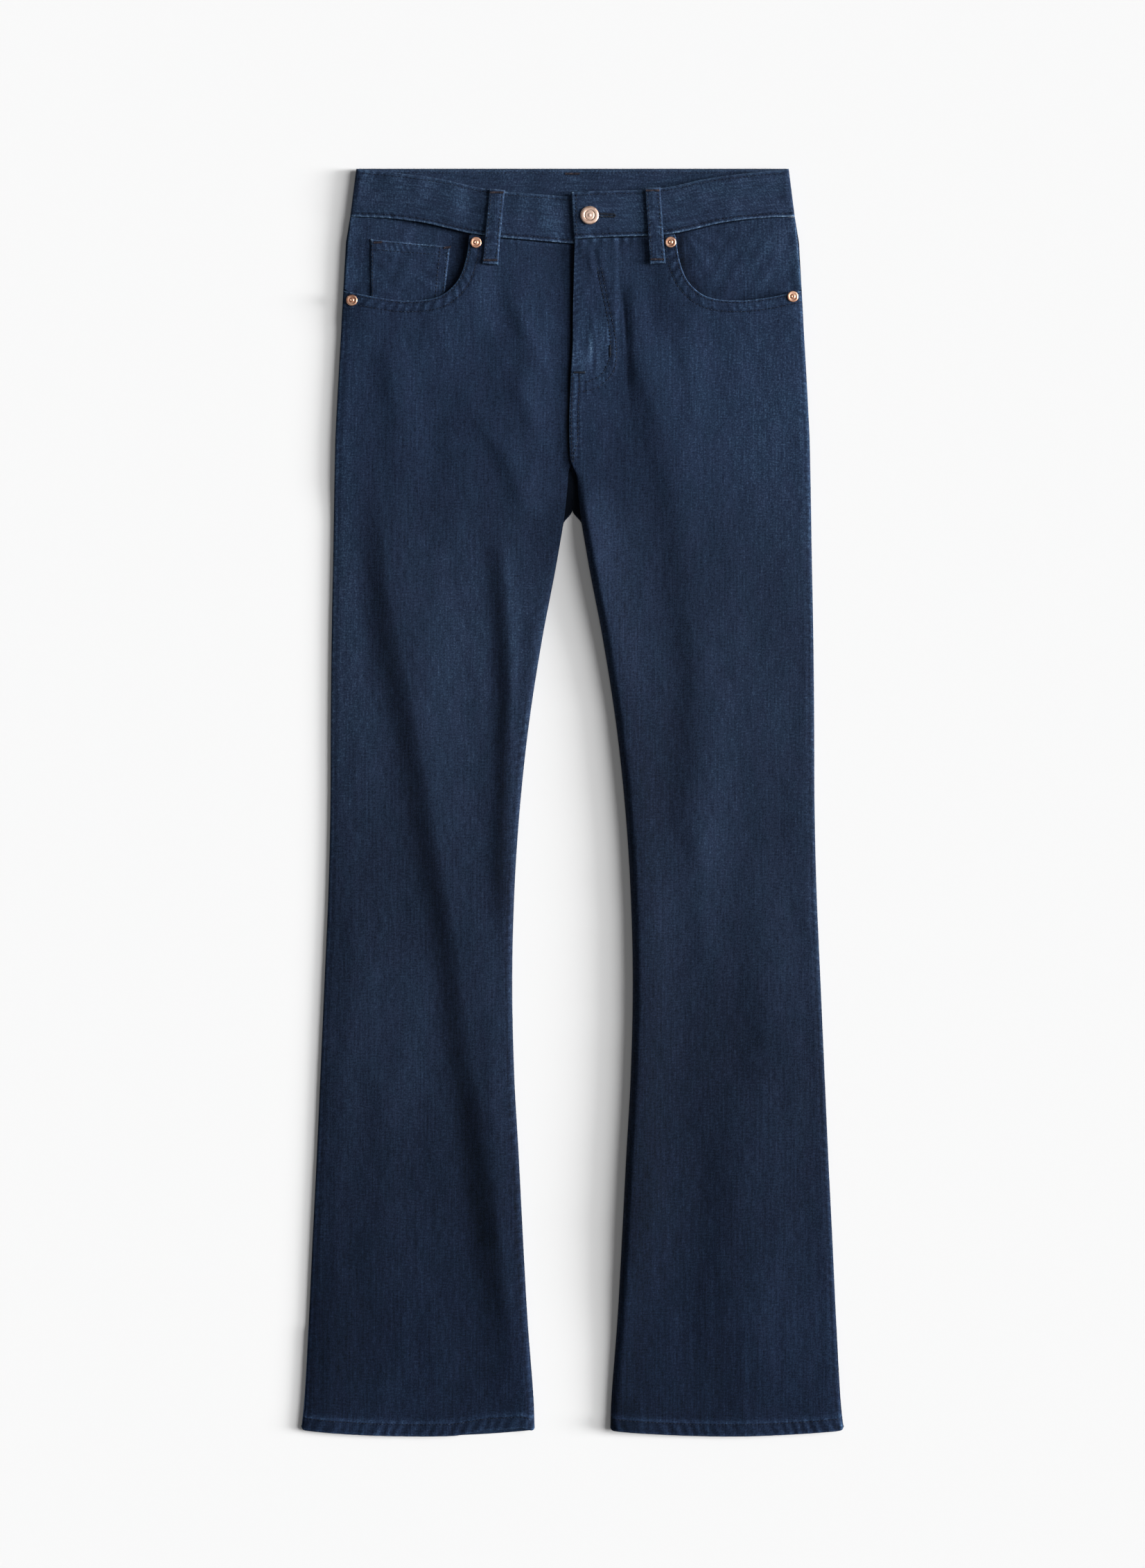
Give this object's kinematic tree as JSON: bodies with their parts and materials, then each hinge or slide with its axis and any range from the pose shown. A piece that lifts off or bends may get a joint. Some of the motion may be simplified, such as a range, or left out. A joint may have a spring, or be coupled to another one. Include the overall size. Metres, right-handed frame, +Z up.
{
  "type": "bootcut jeans",
  "caption": "Dark indigo bootcut jeans laid flat on their back, buttoned, with legs apart and widening to the hems.",
  "frame": {"origin": "on the surface the jeans lie on, under the middle of their box", "axes": "+Y from the hems to the waist, +X towards the wearer's left side, +Z up through the front"},
  "size_m": [0.4592, 1.07, 0.0111],
  "materials": {
    "denim": "dark indigo cotton twill, matt, worn paler along its seams and edges",
    "button_metal": "rose gold plate, satin",
    "rivet_copper": "copper, polished by wear"
  },
  "bodies": {
    "root": {"front_panel_right": "denim", "front_panel_left": "denim", "back_panel_right": "denim", "back_panel_left": "denim", "back_yoke_right": "denim", "back_yoke_left": "denim", "waistband": "denim", "pocket_facing_right": "denim", "pocket_facing_left": "denim", "coin_pocket": "denim", "belt_loop_front_right": "denim", "belt_loop_front_left": "denim", "belt_loop_back_centre": "denim", "belt_loop_back_right": "denim", "belt_loop_back_left": "denim", "back_pocket_right": "denim", "back_pocket_left": "denim", "button": "button_metal", "rivet_right_inner": "rivet_copper", "rivet_right_outer": "rivet_copper", "rivet_left_inner": "rivet_copper", "rivet_left_outer": "rivet_copper"}
  },
  "joints": []
}
